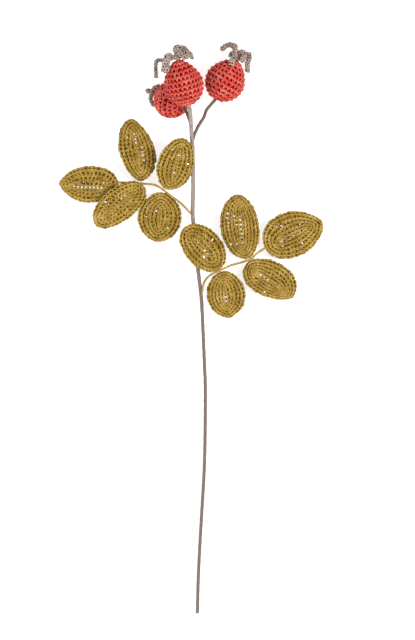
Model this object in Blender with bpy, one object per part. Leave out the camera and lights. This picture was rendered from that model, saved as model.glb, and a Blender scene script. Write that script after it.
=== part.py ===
"""A crocheted rose hip sprig lying on its side: three stuffed hips and two leaves on one taped wire stem.

The sprig lies on the plane z = 0 with its stem along Y, the hips at the +Y end and the cut tail at the
-Y end. Two of the hips and the tail touch the plane. Lengths are written in millimetres and multiplied
by MM, so that everything in Blender is in metres. At the end the whole sprig is moved so that the middle
of its box, at its lowest height, is the origin.
"""
import math

import bmesh
import bpy
from mathutils import Matrix, Quaternion, Vector

MM = 0.001
UP = Vector((0.0, 0.0, 1.0))

# Yarn and stitches
GAP = 0.3                # clear space between pieces that touch on the real sprig
STITCH_RELIEF = 0.45     # how far a stitch stands out of, or sinks into, a hip
CORD_THICK = 3.6         # a crocheted calyx arm
SEPAL_THICK = 3.0        # a calyx arm that is worked wide and flat

# Stem, its wire and its tape
WIRE_RADIUS = 0.55
BORE_RADIUS = 0.8
HIP_WIRE_RADIUS = 0.42
HIP_BORE_RADIUS = 0.66
BRANCH_RADIUS = 1.08
STEM_STEP = 14.0
STALK_STEP = 7.0
ARM_STEP = 2.8
# x, y, z and tape radius, from the cut tail to the calyx side of the fork
STEM_ROUTE = (
    (6.0, -249.5, 1.30, 1.20),
    (7.0, -213.3, 1.60, 1.20),
    (9.4, -168.7, 2.60, 1.22),
    (12.0, -124.1, 4.00, 1.27),
    (12.8, -89.2, 5.40, 1.32),
    (12.9, -51.3, 7.30, 1.36),
    (12.2, -32.3, 8.30, 1.38),
    (10.7, 2.7, 10.4, 1.42),
    (9.3, 26.8, 12.0, 1.46),
    (6.6, 50.9, 13.8, 1.60),
    (2.6, 91.0, 17.0, 1.76),
    (1.8, 99.4, 17.7, 1.85),
    (2.3, 119.5, 19.8, 1.90),
    (2.3, 132.9, 21.5, 1.90),
    (1.7, 159.1, 26.0, 1.85),
    (1.0, 166.9, 28.4, 1.80),
    (0.2, 182.4, 35.9, 1.75),
)
RIGHT_BRANCH = (
    (1.4, 162.6, 27.1),
    (3.9, 169.9, 26.8),
    (7.3, 177.0, 24.8),
    (11.7, 184.0, 21.8),
    (14.2, 190.6, 19.2),
)
LEFT_BRANCH = (
    (0.5, 177.0, 33.2),
    (-1.4, 183.0, 33.8),
    (-3.7, 188.6, 30.6),
)

# Leaf stalks: a thin wire under wound yarn
STALK_RADIUS = 0.92
STALK_BORE = 0.58
STALK_WIRE = 0.34
LEFT_STALK = (
    (0.2, 99.8, 20.6),
    (-7.7, 108.2, 19.2),
    (-16.5, 114.8, 17.6),
    (-23.0, 119.9, 16.4),
    (-28.1, 123.5, 15.6),
    (-32.5, 125.2, 15.0),
    (-39.8, 125.9, 14.0),
    (-45.0, 126.4, 13.2),
    (-61.6, 127.4, 11.0),
)
RIGHT_STALK = (
    (10.4, 31.4, 14.7),
    (10.9, 36.1, 14.8),
    (12.2, 40.5, 14.9),
    (15.6, 44.9, 14.9),
    (21.4, 48.5, 14.8),
    (27.2, 51.0, 14.6),
    (34.5, 54.3, 14.2),
    (41.8, 56.5, 13.8),
    (47.6, 58.3, 13.4),
    (53.5, 60.9, 12.8),
    (58.6, 65.6, 12.2),
    (63.0, 68.5, 11.8),
)
# Where each leaf wire is tucked under the stem's tape, beside the stem wire
LEFT_TUCK = (2.1, 96.8, 18.6)
RIGHT_TUCK = (9.6, 28.2, 13.2)

# Leaflets: base and tip (x, y, z), half width left and right of the way from base to tip, how pointed
# the tip and the base are (1 is round), where the left and right bellies sit along the leaflet (0 is
# half way), rise of the edges, rise of the middle, and roll in degrees that lifts the right edge
LEAFLETS = {
    "leaflet_left_1": ((-63.4, 126.9, 11.0), (-114.6, 126.7, 6.5), 17.3, 14.7, 1.45, 1.10, 0.00, -0.10, 1.0, 1.0, 0),
    "leaflet_left_2": ((-43.2, 128.0, 11.5), (-52.6, 182.7, 8.5), 14.2, 16.3, 1.30, 1.20, 0.10, -0.25, 5.0, 1.0, 0),
    "leaflet_left_3": ((-21.3, 121.0, 17.2), (-5.1, 164.9, 33.0), 15.5, 14.8, 0.95, 1.10, 0.00, -0.25, 1.0, 1.5, -7),
    "leaflet_left_4": ((-41.2, 124.4, 18.0), (-82.7, 89.7, 14.0), 13.9, 15.4, 1.00, 0.90, -0.10, 0.05, 0.5, 2.0, 0),
    "leaflet_left_5": ((-24.6, 118.3, 13.6), (-29.3, 75.3, 8.0), 18.8, 19.0, 1.00, 1.10, 0.00, 0.00, 2.0, 1.0, 4),
    "leaflet_right_1": ((64.9, 70.1, 11.8), (115.4, 92.1, 6.0), 19.9, 18.2, 1.35, 0.95, -0.12, -0.05, 2.0, 1.0, 0),
    "leaflet_right_2": ((49.1, 60.4, 10.2), (40.6, 116.4, 7.0), 18.6, 14.9, 1.10, 1.10, 0.00, 0.00, 3.0, 1.0, 0),
    "leaflet_right_3": ((49.2, 56.6, 10.2), (89.9, 27.1, 6.5), 17.2, 15.6, 1.15, 1.05, 0.15, -0.30, 1.5, 1.5, 0),
    "leaflet_right_4": ((26.6, 52.6, 16.6), (-5.8, 87.4, 23.0), 15.8, 17.0, 0.98, 0.98, -0.05, 0.00, 0.5, 1.5, 0),
    "leaflet_right_5": ((28.7, 49.6, 11.2), (32.6, 9.0, 7.0), 17.2, 16.2, 1.20, 1.05, 0.05, 0.00, 1.5, 1.0, 0),
}
LEAF_COLUMNS = 36        # around the edge: two to a stitch
# From the midrib to the edge: share of the way, half thickness, height and outward reach of the stitches
LEAF_ROWS = (
    (0.00, 0.45, 0.00, 0.00),
    (0.13, 0.95, 0.00, 0.00),
    (0.42, 1.35, 0.25, 0.00),
    (0.74, 1.15, -0.28, 0.00),
    (1.00, 0.80, 0.12, 0.45),
)
MIDRIB_END = 0.42        # the midrib stops this share of the half width short of base and tip

# Hips: centre, way from the stem end to the calyx end, radius, length to each end
HIP_COLUMNS = 30         # two to a stitch
HIP_ROUNDS = 18
HIP_TAPER = 0.27         # how much the calyx end narrows, like a pear
WALL = 2.4               # one layer of crochet, stitches and all
FLAT_DEPTH = 0.6         # how far the yarn is pressed flat where a hip rests
HIPS = {
    "centre": ((-5.9, 211.9, 46.6), (-0.245, 0.945, 0.210), 17.2, 18.5, 22.5),
    "right": ((30.4, 215.6, 17.5 - FLAT_DEPTH), (0.490, 0.872, 0.000), 17.5, 18.5, 20.5),
    "left": ((-16.9, 199.6, 14.9 - FLAT_DEPTH), (-0.670, 0.410, -0.616), 15.8, 16.2, 16.0),
}
APPROACH = 1.2           # straight end of a taped branch before its hip
WIRE_DEPTH = 11.0        # how far a wire runs into the stuffing, from the hip's surface

# Calyx arms: each a route with a width; a wide arm is flat and a CORD_THICK one is round
CALYX_RADIUS = {"centre": 4.4, "right": 4.4, "left": 3.3}
ARMS = {
    "centre": (
        (7.0, ((-16.6, 238.4, 55.0), (-20.6, 239.0, 57.5), (-21.4, 233.7, 58.3), (-21.9, 228.1, 58.0),
               (-23.0, 221.9, 56.6))),
        (CORD_THICK, ((-19.0, 235.2, 47.5), (-24.0, 233.2, 46.5), (-29.2, 233.0, 45.5), (-30.4, 227.2, 45.0),
                      (-29.9, 220.7, 44.5), (-29.6, 216.8, 44.5))),
        (6.8, ((-13.4, 240.4, 55.5), (-11.4, 244.0, 57.5), (-7.6, 241.2, 58.5), (-3.2, 235.0, 58.0))),
        (CORD_THICK, ((-9.8, 242.0, 51.0), (-6.7, 244.8, 51.3), (-2.7, 241.8, 51.3), (0.3, 237.6, 50.8),
                      (1.7, 234.6, 50.0))),
        (CORD_THICK, ((-11.0, 240.5, 45.5), (-10.4, 240.5, 40.0), (-10.0, 236.0, 35.0), (-10.5, 232.0, 33.0))),
    ),
    "right": (
        (CORD_THICK + 0.6, ((38.4, 238.0, 20.0), (38.8, 241.4, 21.0), (39.2, 245.2, 22.0), (36.4, 247.2, 22.5),
                            (32.8, 246.9, 22.0), (29.6, 245.3, 21.0), (27.6, 243.0, 19.8))),
        (5.0, ((38.4, 236.8, 23.6), (36.4, 233.2, 27.2), (34.6, 228.4, 30.6))),
        (5.0, ((44.3, 240.9, 21.0), (47.5, 239.4, 22.5), (47.4, 235.4, 22.2))),
        (CORD_THICK + 1.0, ((48.0, 238.8, 16.5), (51.2, 238.8, 17.0), (51.4, 235.6, 17.5), (50.1, 231.8, 18.0),
                            (49.7, 227.9, 18.5), (50.2, 223.0, 19.0))),
        (CORD_THICK, ((43.5, 239.5, 11.0), (40.0, 241.5, 7.0), (36.0, 240.0, 4.5), (34.0, 236.0, 3.5))),
    ),
    "left": (
        (CORD_THICK, ((-28.6, 211.4, 5.5), (-32.4, 208.7, 7.0), (-36.6, 206.2, 7.5), (-39.4, 209.2, 7.0))),
        (CORD_THICK, ((-32.8, 204.5, 5.0), (-34.8, 201.0, 6.0), (-33.8, 196.8, 6.0), (-31.6, 193.2, 5.5))),
        (3.2, ((-30.3, 202.0, 2.4), (-29.5, 197.0, 2.1))),
        (3.2, ((-26.4, 210.4, 2.5), (-22.0, 213.2, 2.2))),
    ),
}

# Base colours in linear light, with roughness
FINISHES = {
    "coral_yarn": ((0.72, 0.085, 0.06), 0.85),
    "gold_yarn": ((0.46, 0.32, 0.09), 0.85),
    "taupe_yarn": ((0.36, 0.30, 0.27), 0.88),
    "floral_tape": ((0.31, 0.21, 0.19), 0.6),
    "polyester_fill": ((0.8, 0.8, 0.78), 0.95),
    "steel_wire": ((0.45, 0.45, 0.46), 0.35),
}


def material(name):
    """A Principled material of one of the sprig's finishes, made once."""
    found = bpy.data.materials.get(name)
    if found:
        return found
    colour, roughness = FINISHES[name]
    made = bpy.data.materials.new(name)
    made.use_nodes = True
    shader = made.node_tree.nodes["Principled BSDF"]
    shader.inputs["Base Color"].default_value = (*colour, 1.0)
    shader.inputs["Roughness"].default_value = roughness
    shader.inputs["Metallic"].default_value = 1.0 if name == "steel_wire" else 0.0
    return made


def smooth_route(points, step):
    """Points about one step apart on a smooth curve through the given ones (x, y, z and any more values)."""
    points = [Vector(point) for point in points]
    ends = [2 * points[0] - points[1], *points, 2 * points[-1] - points[-2]]
    route = []
    for before, start, end, after in zip(ends, ends[1:], ends[2:], ends[3:]):
        pieces = max(1, round((end.xyz - start.xyz).length / step))
        for piece in range(pieces):
            t = piece / pieces
            route.append(
                0.5 * (2 * start + (end - before) * t + (2 * before - 5 * start + 4 * end - after) * t ** 2
                       + (3 * start - before - 3 * end + after) * t ** 3))
    route.append(points[-1])
    return route


def shortened(route):
    """The route, with its start moved on by one gap, so that a wire stays clear of the end of its bore."""
    way = (route[1] - route[0]).xyz.normalized()
    return [route[0].xyz + way * GAP, *route[1:]]


def finished(name, mesh, finish, collection, parent):
    """An object of the mesh, in one finish, shaded smooth except at sharp edges."""
    made = bpy.data.objects.new(name, mesh)
    collection.objects.link(made)
    mesh.materials.clear()
    mesh.materials.append(material(finish))
    mesh.shade_smooth()
    mesh.set_sharp_from_angle(angle=math.radians(60))
    made.parent = parent
    if collection.name == "cutters":
        made.hide_render = True
        made.display_type = "WIRE"
    return made


def tube(name, route, radii, finish, collection, parent, resolution=2, half_width=0.0):
    """A closed tube along the route; a half_width over its radius makes a flat band lying level."""
    thick = max(radii)
    curve = bpy.data.curves.new(name, "CURVE")
    curve.dimensions = "3D"
    curve.twist_mode = "Z_UP"
    curve.bevel_depth = thick * MM
    curve.bevel_resolution = resolution
    curve.extrude = max(0.0, half_width - thick) * MM
    curve.use_fill_caps = True
    spline = curve.splines.new("POLY")
    spline.points.add(len(route) - 1)
    for point, place, radius in zip(spline.points, route, radii):
        point.co = (*(place.xyz * MM), 1.0)
        point.radius = radius / thick
        point.tilt = math.radians(90) if half_width > thick else 0.0
    holder = bpy.data.objects.new(name, curve)
    collection.objects.link(holder)
    depsgraph = bpy.context.evaluated_depsgraph_get()
    mesh = bpy.data.meshes.new_from_object(holder.evaluated_get(depsgraph))
    bpy.data.objects.remove(holder)
    bpy.data.curves.remove(curve)
    welded = bmesh.new()
    welded.from_mesh(mesh)
    bmesh.ops.remove_doubles(welded, verts=welded.verts, dist=0.001 * MM)
    bmesh.ops.recalc_face_normals(welded, faces=welded.faces)
    welded.to_mesh(mesh)
    welded.free()
    mesh.name = name
    return finished(name, mesh, finish, collection, parent)


def boolean(target, operation, other, solver="EXACT"):
    """Join another object to the target, or cut it out."""
    modifier = target.modifiers.new(operation.lower() + "_" + other.name, "BOOLEAN")
    modifier.operation = operation
    modifier.solver = solver
    modifier.object = other


def turned_axes(forward, roll):
    """Axes with X along forward, Y level to its left, then rolled about X by degrees that lower Y."""
    forward = forward.normalized()
    left = UP.cross(forward).normalized()
    turn = Quaternion(forward, -math.radians(roll))
    left = turn @ left
    return Matrix((forward, left, forward.cross(left))).transposed()


def leaflet(name, shape, collection, parent):
    """One crocheted leaflet: rows of stitches round a midrib groove, with a scalloped edge.

    It is a sphere whose rings become the rows, from the midrib on top over the edge to the midrib
    below. Every other column of vertices is a stitch, which stands up in one row and lies low in the
    next, and reaches out at the edge.
    """
    base, tip, left, right, tip_point, base_point, left_belly, right_belly, cup, arch, roll = shape
    base, tip = Vector(base), Vector(tip)
    half_length = (tip - base).length / 2
    rings = 2 * len(LEAF_ROWS) - 1
    shaped = bmesh.new()
    bmesh.ops.create_uvsphere(shaped, u_segments=LEAF_COLUMNS, v_segments=rings, radius=1.0)
    for vert in shaped.verts:
        angle = math.atan2(vert.co.y, vert.co.x)
        column = round(angle / math.tau * LEAF_COLUMNS)
        ring = round(math.acos(max(-1.0, min(1.0, vert.co.z))) / math.pi * rings)
        top = ring < rings / 2
        share, half_thick, relief, reach = LEAF_ROWS[ring if top else rings - ring]
        stitch = 1 if column % 2 else -1
        along, across = math.cos(angle), math.sin(angle)
        half_width = left if across > 0 else right
        belly = left_belly if across > 0 else right_belly
        point = tip_point if along > 0 else base_point
        edge_x = half_length * (along + belly * across ** 2)
        edge_y = math.copysign(half_width * abs(across) ** point, across)
        midrib_x = (half_length - MIDRIB_END * half_width) * along
        outward = Vector((edge_x - midrib_x, edge_y))
        outward *= share + stitch * reach / max(outward.length, 1.0)
        x, y = midrib_x + outward.x, outward.y
        bend = cup * (y / half_width) ** 2 + arch * (1 - (x / half_length) ** 2)
        thick = (half_thick + stitch * relief) * (1 if top else -1)
        vert.co = Vector((x + half_length, y, bend + thick)) * MM
    mesh = bpy.data.meshes.new(name)
    shaped.to_mesh(mesh)
    shaped.free()
    made = finished(name, mesh, "gold_yarn", collection, parent)
    made.matrix_local = Matrix.Translation(base * MM) @ turned_axes(tip - base, roll).to_4x4()
    return made


def hip_frame(side):
    """Where a hip sits: its centre, with Z from the stem end to the calyx end."""
    centre, axis, *_ = HIPS[side]
    turn = UP.rotation_difference(Vector(axis).normalized())
    return Matrix.Translation(Vector(centre) * MM) @ turn.to_matrix().to_4x4()


def hip_surface(polar, radius, stem_length, calyx_length):
    """Radius and height of a hip's pear profile at a polar angle from the calyx end, less its stitches."""
    rise = math.cos(polar)
    length = calyx_length if rise > 0 else stem_length
    return radius * math.sin(polar) * (1 - HIP_TAPER * max(0.0, rise) ** 1.5), length * rise


def pear(name, side, inset, columns, rounds, relief):
    """A closed pear of one hip, inset from its profile, with stitches as bumps and hollows in turn."""
    _, _, radius, stem_length, calyx_length = HIPS[side]
    frame = hip_frame(side)
    shaped = bmesh.new()
    bmesh.ops.create_uvsphere(shaped, u_segments=columns, v_segments=rounds, radius=1.0)
    for vert in shaped.verts:
        angle = math.atan2(vert.co.y, vert.co.x)
        polar = math.acos(max(-1.0, min(1.0, vert.co.z)))
        reach, height = hip_surface(polar, radius - inset, stem_length - inset, calyx_length - inset)
        column = round(angle / math.tau * columns)
        ring = round(polar / math.pi * rounds)
        place = Vector((reach * math.cos(angle), reach * math.sin(angle), height))
        above = (frame @ (place * MM)).z / MM
        pressed = min(1.0, max(0.0, above / 3.0))
        at_pole = ring in (0, rounds)
        bump = 0.0 if at_pole else relief * pressed * (1 if (column + ring) % 2 else -1)
        vert.co = (place + place.normalized() * bump) * MM
    mesh = bpy.data.meshes.new(name)
    shaped.to_mesh(mesh)
    shaped.free()
    return mesh


def press_flat(mesh, frame):
    """Cut the mesh off level at the plane it rests on and close it with one flat face."""
    inverse = frame.inverted()
    shaped = bmesh.new()
    shaped.from_mesh(mesh)
    bmesh.ops.bisect_plane(
        shaped, geom=[*shaped.verts, *shaped.edges, *shaped.faces], dist=0.0001 * MM,
        plane_co=inverse @ Vector((0.0, 0.0, 0.0)), plane_no=inverse.to_3x3() @ -UP, clear_outer=True)
    bmesh.ops.holes_fill(shaped, edges=[edge for edge in shaped.edges if edge.is_boundary])
    bmesh.ops.recalc_face_normals(shaped, faces=shaped.faces)
    shaped.to_mesh(mesh)
    shaped.free()


def hip(side, wire_route, parts, cutters, parent):
    """The crocheted cover of one hip, open where its wire goes in, and the stuffing inside it."""
    frame = hip_frame(side)
    cover_mesh = pear("hip_" + side, side, 0.0, HIP_COLUMNS, HIP_ROUNDS, STITCH_RELIEF)
    press_flat(cover_mesh, frame)
    cover = finished("hip_" + side, cover_mesh, "coral_yarn", parts, parent)
    cover.matrix_local = frame
    cavity = finished("cavity_" + side, pear("cavity_" + side, side, WALL, 14, 9, 0.0), "coral_yarn",
                      cutters, parent)
    cavity.matrix_local = frame
    neck_radius = (WIRE_RADIUS if side == "centre" else HIP_WIRE_RADIUS) + GAP
    neck = tube("neck_" + side, wire_route, [neck_radius] * len(wire_route), "coral_yarn", cutters, parent)
    boolean(cover, "DIFFERENCE", cavity)
    boolean(cover, "DIFFERENCE", neck)
    stuffing = finished("stuffing_" + side, pear("stuffing_" + side, side, WALL + GAP, 14, 9, 0.0),
                        "polyester_fill", parts, parent)
    stuffing.matrix_local = frame
    boolean(stuffing, "DIFFERENCE", neck)


def calyx(side, parts, cutters, parent):
    """The crocheted calyx of one hip: a small round cap with curled arms, joined in one piece."""
    _, _, _, _, calyx_length = HIPS[side]
    radius = CALYX_RADIUS[side]
    thick = 0.28 * radius
    shaped = bmesh.new()
    bmesh.ops.create_uvsphere(shaped, u_segments=12, v_segments=6, radius=radius * MM)
    bmesh.ops.scale(shaped, vec=(1.0, 1.0, thick / radius), verts=shaped.verts)
    mesh = bpy.data.meshes.new("calyx_" + side)
    shaped.to_mesh(mesh)
    shaped.free()
    cap = finished("calyx_" + side, mesh, "taupe_yarn", parts, parent)
    height = (calyx_length + STITCH_RELIEF + GAP + thick) * MM
    frame = hip_frame(side) @ Matrix.Translation((0.0, 0.0, height))
    cap.matrix_local = frame
    root = frame @ Vector((0.0, 0.0, thick * MM)) / MM
    for number, (width, points) in enumerate(ARMS[side], 1):
        thickness = min(width, SEPAL_THICK if width > CORD_THICK + 1.2 else width)
        route = smooth_route([root, *points], ARM_STEP)
        radii = [thickness / 2 * (1.0 if place % 2 else 0.84) for place in range(len(route))]
        radii[-1] = 0.6 * thickness / 2
        arm = tube(f"arm_{side}_{number}", route, radii, "taupe_yarn", cutters, parent, 1, width / 2)
        boolean(cap, "UNION", arm, "MANIFOLD")


def stem_routes():
    """The centre line of the stem with its radii, and of each hip's branch, up to the hips."""
    ends = {}
    for side, (centre, axis, _, stem_length, _) in HIPS.items():
        axis = Vector(axis).normalized()
        surface = Vector(centre) - axis * (stem_length + 1.5 * GAP)
        ends[side] = (surface - axis * APPROACH, surface, surface + axis * WIRE_DEPTH)
    main = [Vector(point) for point in STEM_ROUTE]
    tip_radius = STEM_ROUTE[-1][3]
    main += [Vector((*place, tip_radius)) for place in ends["centre"][:2]]
    branches = {
        "right": [*map(Vector, RIGHT_BRANCH), *ends["right"][:2]],
        "left": [*map(Vector, LEFT_BRANCH), *ends["left"][:2]],
    }
    return main, branches, {side: places[1:] for side, places in ends.items()}


def stem(parts, cutters, parent):
    """The taped stem with its two hip branches, the wires inside, and the way each wire goes into a hip."""
    main, branches, ends = stem_routes()
    route = smooth_route(main, STEM_STEP)
    wrap = tube("stem_wrap", route, [point[3] for point in route], "floral_tape", parts, parent)
    bore_route = [*route, ends["centre"][1]]
    tail_way = (route[0] - route[1]).xyz.normalized()
    wire_route = [point.xyz for point in bore_route]
    long_route = [wire_route[0] + tail_way, *wire_route[1:]]
    bore = tube("stem_bore", long_route, [BORE_RADIUS] * len(long_route), "floral_tape", cutters, parent, 1)
    tube("stem_wire", wire_route, [WIRE_RADIUS] * len(wire_route), "steel_wire", parts, parent, 1)
    necks = {"centre": [ends["centre"][0] - (ends["centre"][1] - ends["centre"][0]).normalized() * 2,
                        ends["centre"][1] + (ends["centre"][1] - ends["centre"][0]).normalized() * GAP]}
    bores = [bore]
    for side, points in branches.items():
        line = smooth_route(points, 5.0)
        skin = tube("branch_" + side, line, [BRANCH_RADIUS] * len(line), "floral_tape", cutters, parent)
        boolean(wrap, "UNION", skin, "MANIFOLD")
        inside = [*line[1:], ends[side][1]]
        bores.append(tube("branch_bore_" + side, inside, [HIP_BORE_RADIUS] * len(inside), "floral_tape",
                          cutters, parent))
        wire = shortened(inside)
        tube("hip_wire_" + side, wire, [HIP_WIRE_RADIUS] * len(wire), "steel_wire", parts, parent, 1)
        way = (ends[side][1] - ends[side][0]).normalized()
        necks[side] = [ends[side][0] - way * 2, ends[side][1] + way * GAP]
    for cutter in bores:
        boolean(wrap, "DIFFERENCE", cutter, "MANIFOLD")
    return wrap, necks


def leaf_stalk(side, points, tuck, wrap, parts, cutters, parent):
    """A leaf's stalk: yarn wound on a wire whose end is tucked under the stem's tape."""
    line = smooth_route(points, STALK_STEP)
    stalk = tube("leaf_stalk_" + side, line, [STALK_RADIUS] * len(line), "gold_yarn", parts, parent)
    beyond = line[-1] + (line[-1] - line[-2]).normalized()
    bore_line = [Vector(tuck), *line[:-1], beyond]
    bore = tube("stalk_bore_" + side, bore_line, [STALK_BORE] * len(bore_line), "gold_yarn", cutters, parent)
    wire = shortened([Vector(tuck), *line])
    tube("leaf_wire_" + side, wire, [STALK_WIRE] * len(wire), "steel_wire", parts, parent, 1)
    boolean(stalk, "DIFFERENCE", bore)
    boolean(wrap, "DIFFERENCE", bore, "MANIFOLD")


def stand_on_origin(parts, parent):
    """Move the sprig so that the middle of its box, at its lowest height, is the origin."""
    depsgraph = bpy.context.evaluated_depsgraph_get()
    corners = []
    for made in parts.objects:
        seen = made.evaluated_get(depsgraph)
        corners += [seen.matrix_world @ vert.co for vert in seen.data.vertices]
    low = Vector([min(corner[axis] for corner in corners) for axis in range(3)])
    high = Vector([max(corner[axis] for corner in corners) for axis in range(3)])
    parent.location = (-(low.x + high.x) / 2, -(low.y + high.y) / 2, -low.z)


def main():
    for old in list(bpy.data.objects):
        bpy.data.objects.remove(old)
    parts = bpy.data.collections.new("rose_hip_sprig")
    cutters = bpy.data.collections.new("cutters")
    for collection in (parts, cutters):
        bpy.context.scene.collection.children.link(collection)
    parent = bpy.data.objects.new("sprig", None)
    bpy.context.scene.collection.objects.link(parent)

    wrap, necks = stem(parts, cutters, parent)
    leaf_stalk("left", LEFT_STALK, LEFT_TUCK, wrap, parts, cutters, parent)
    leaf_stalk("right", RIGHT_STALK, RIGHT_TUCK, wrap, parts, cutters, parent)
    for side in HIPS:
        hip(side, necks[side], parts, cutters, parent)
        calyx(side, parts, cutters, parent)
    for name, shape in LEAFLETS.items():
        leaflet(name, shape, parts, parent)
    stand_on_origin(parts, parent)


main()
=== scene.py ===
"""A crocheted rose hip sprig, built stitch by stitch over its CAD model, on a pale studio floor.

Three stuffed hips, three crocheted calyxes, ten crocheted leaflets on two wound stalks, and a taped wire
stem. Lengths are worked out in millimetres and multiplied by MM, so everything in Blender is in metres,
in the frame of the CAD model: the sprig lies on z = 0 with its stem along Y.
"""
from collections import namedtuple

import bpy
import numpy as np
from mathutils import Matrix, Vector


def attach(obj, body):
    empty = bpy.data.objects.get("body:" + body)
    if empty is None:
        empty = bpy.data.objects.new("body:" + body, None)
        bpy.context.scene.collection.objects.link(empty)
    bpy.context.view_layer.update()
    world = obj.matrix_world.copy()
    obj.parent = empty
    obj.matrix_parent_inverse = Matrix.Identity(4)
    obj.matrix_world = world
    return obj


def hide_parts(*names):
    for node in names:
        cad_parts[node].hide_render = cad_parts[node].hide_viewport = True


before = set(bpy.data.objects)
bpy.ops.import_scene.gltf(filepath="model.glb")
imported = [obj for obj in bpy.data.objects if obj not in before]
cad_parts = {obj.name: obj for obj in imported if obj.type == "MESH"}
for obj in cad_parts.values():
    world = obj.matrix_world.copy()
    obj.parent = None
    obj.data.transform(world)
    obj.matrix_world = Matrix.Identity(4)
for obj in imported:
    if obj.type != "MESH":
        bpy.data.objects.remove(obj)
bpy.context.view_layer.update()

bl_info = {
    "name": "Crocheted rose hip sprig",
    "version": (1, 0, 0),
    "blender": (4, 5, 0),
    "location": "3D View > Sidebar > Rose Hip",
    "description": "Builds a crocheted rose hip sprig, stitch by stitch",
    "category": "Object",
}

MM = 0.001
UP = np.array((0.0, 0.0, 1.0))
TURN = 2 * np.pi
# From the drawing's origin, where the stem's route is given, to the middle of the sprig's box, in mm
SHIFT = np.array((-0.733, 0.152, 0.0))
CHANCE = np.random.default_rng(7)

# ---------------------------------------------------------------- the sprig's shapes, in mm

# Hips: centre, way from the stem end to the calyx end, radius, length to each end
HIP_TAPER = 0.27
# The share of a round that the two ends of a hip leave bare, and where its first round starts and each
# round's middle lies, in rounds; counts of stitches are whole multiples of the increases in a round
BARE_ENDS, FIRST_ROUND, ROUND_MIDDLE, INCREASES = 0.6, 0.55, 0.35, 6
HIPS = {
    "centre": ((-5.9, 211.9, 46.6), (-0.245, 0.945, 0.210), 17.2, 18.5, 22.5),
    "right": ((30.4, 215.6, 16.9), (0.490, 0.872, 0.000), 17.5, 18.5, 20.5),
    "left": ((-16.9, 199.6, 14.3), (-0.670, 0.410, -0.616), 15.8, 16.2, 16.0),
}
# Calyx caps: radius and half thickness
CALYX_CAPS = {"centre": (4.4, 1.23), "right": (4.4, 1.23), "left": (3.3, 0.92)}
# Calyx arms: width, thickness and the route that each follows after the cap
ARMS = {
    "centre": (
        (7.2, 3.0, ((-15.6, 235.7, 54.6), (-19.8, 236.4, 57.5), (-20.8, 232.6, 58.3), (-21.5, 227.6, 58.0),
            (-22.8, 221.4, 56.6))),
        (3.6, 3.6, ((-19.0, 235.2, 47.5), (-24.0, 233.2, 46.5), (-29.2, 233.0, 45.5), (-30.4, 227.2, 45.0),
            (-29.9, 220.7, 44.5), (-29.6, 216.8, 44.5))),
        (8.4, 3.0, ((-11.4, 238.8, 55.2), (-11.2, 243.1, 57.5), (-7.0, 240.2, 58.5), (-1.6, 233.9, 57.6))),
        (4.2, 4.2, ((-9.8, 242.0, 51.0), (-6.9, 244.4, 51.3), (-2.9, 241.6, 51.3), (0.5, 237.2, 50.8),
            (2.6, 233.2, 50.0))),
        (3.6, 3.6, ((-11.0, 240.5, 45.5), (-10.4, 240.5, 40.0), (-10.0, 236.0, 35.0), (-10.5, 232.0, 33.0))),
    ),
    "right": (
        (4.7, 4.7, ((38.4, 238.0, 20.0), (38.8, 241.4, 21.0), (39.2, 245.2, 22.0), (36.4, 247.2, 22.5),
            (32.8, 246.9, 22.0), (29.2, 245.0, 21.0), (26.8, 241.8, 19.8))),
        (5.0, 3.0, ((38.4, 236.8, 23.6), (36.4, 233.2, 27.2), (34.3, 227.4, 30.8))),
        (5.0, 3.0, ((44.3, 240.9, 21.0), (47.0, 239.4, 22.5), (46.0, 235.2, 24.0), (44.2, 230.8, 25.2))),
        (4.6, 4.6, ((48.0, 238.8, 16.5), (51.2, 238.8, 17.0), (51.4, 235.6, 17.5), (50.1, 231.8, 18.0),
            (49.7, 227.9, 18.5), (50.1, 222.0, 19.0))),
        (3.6, 3.6, ((43.5, 239.5, 11.0), (40.0, 241.5, 7.0), (36.0, 240.0, 4.5), (34.0, 236.0, 3.5))),
    ),
    "left": (
        (3.6, 3.6, ((-28.6, 211.4, 5.5), (-32.4, 208.7, 7.0), (-36.6, 206.2, 7.5), (-39.4, 209.2, 7.0))),
        (3.6, 3.6, ((-32.8, 204.5, 5.0), (-34.8, 201.0, 6.0), (-33.8, 196.8, 6.0), (-31.6, 193.2, 5.5))),
        (3.2, 3.2, ((-30.3, 202.0, 2.4), (-29.5, 197.0, 2.1))),
        (3.2, 3.2, ((-26.4, 210.4, 2.5), (-22.0, 213.2, 2.2))),
    ),
}
# Stem: x, y, z and tape radius from the cut tail to the centre hip; the two branches keep one radius
STEM_ROUTE = (
    (6.0, -249.5, 1.30, 1.46),
    (7.0, -213.3, 1.60, 1.46),
    (9.4, -168.7, 2.60, 1.47),
    (12.0, -124.1, 4.00, 1.50),
    (12.8, -89.2, 5.40, 1.53),
    (12.9, -51.3, 7.30, 1.56),
    (12.2, -32.3, 8.30, 1.57),
    (10.7, 2.7, 10.4, 1.59),
    (9.3, 26.8, 12.0, 1.62),
    (6.6, 50.9, 13.8, 1.70),
    (2.6, 91.0, 17.0, 1.80),
    (1.8, 99.4, 17.7, 1.85),
    (2.3, 119.5, 19.8, 1.88),
    (2.3, 132.9, 21.5, 1.88),
    (1.7, 159.1, 26.0, 1.85),
    (1.0, 166.9, 28.4, 1.82),
    (0.2, 182.4, 35.9, 1.79),
)
BRANCH_RADIUS = 1.45
BRANCHES = {
    "right": ((1.4, 162.6, 27.1), (3.9, 169.9, 26.8), (7.3, 177.0, 24.8), (11.7, 184.0, 21.8),
              (14.2, 190.6, 19.2)),
    "left": ((0.5, 177.0, 33.2), (-1.4, 183.0, 33.8), (-3.7, 188.6, 30.6)),
}
STALK_RADIUS = 0.92
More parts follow.
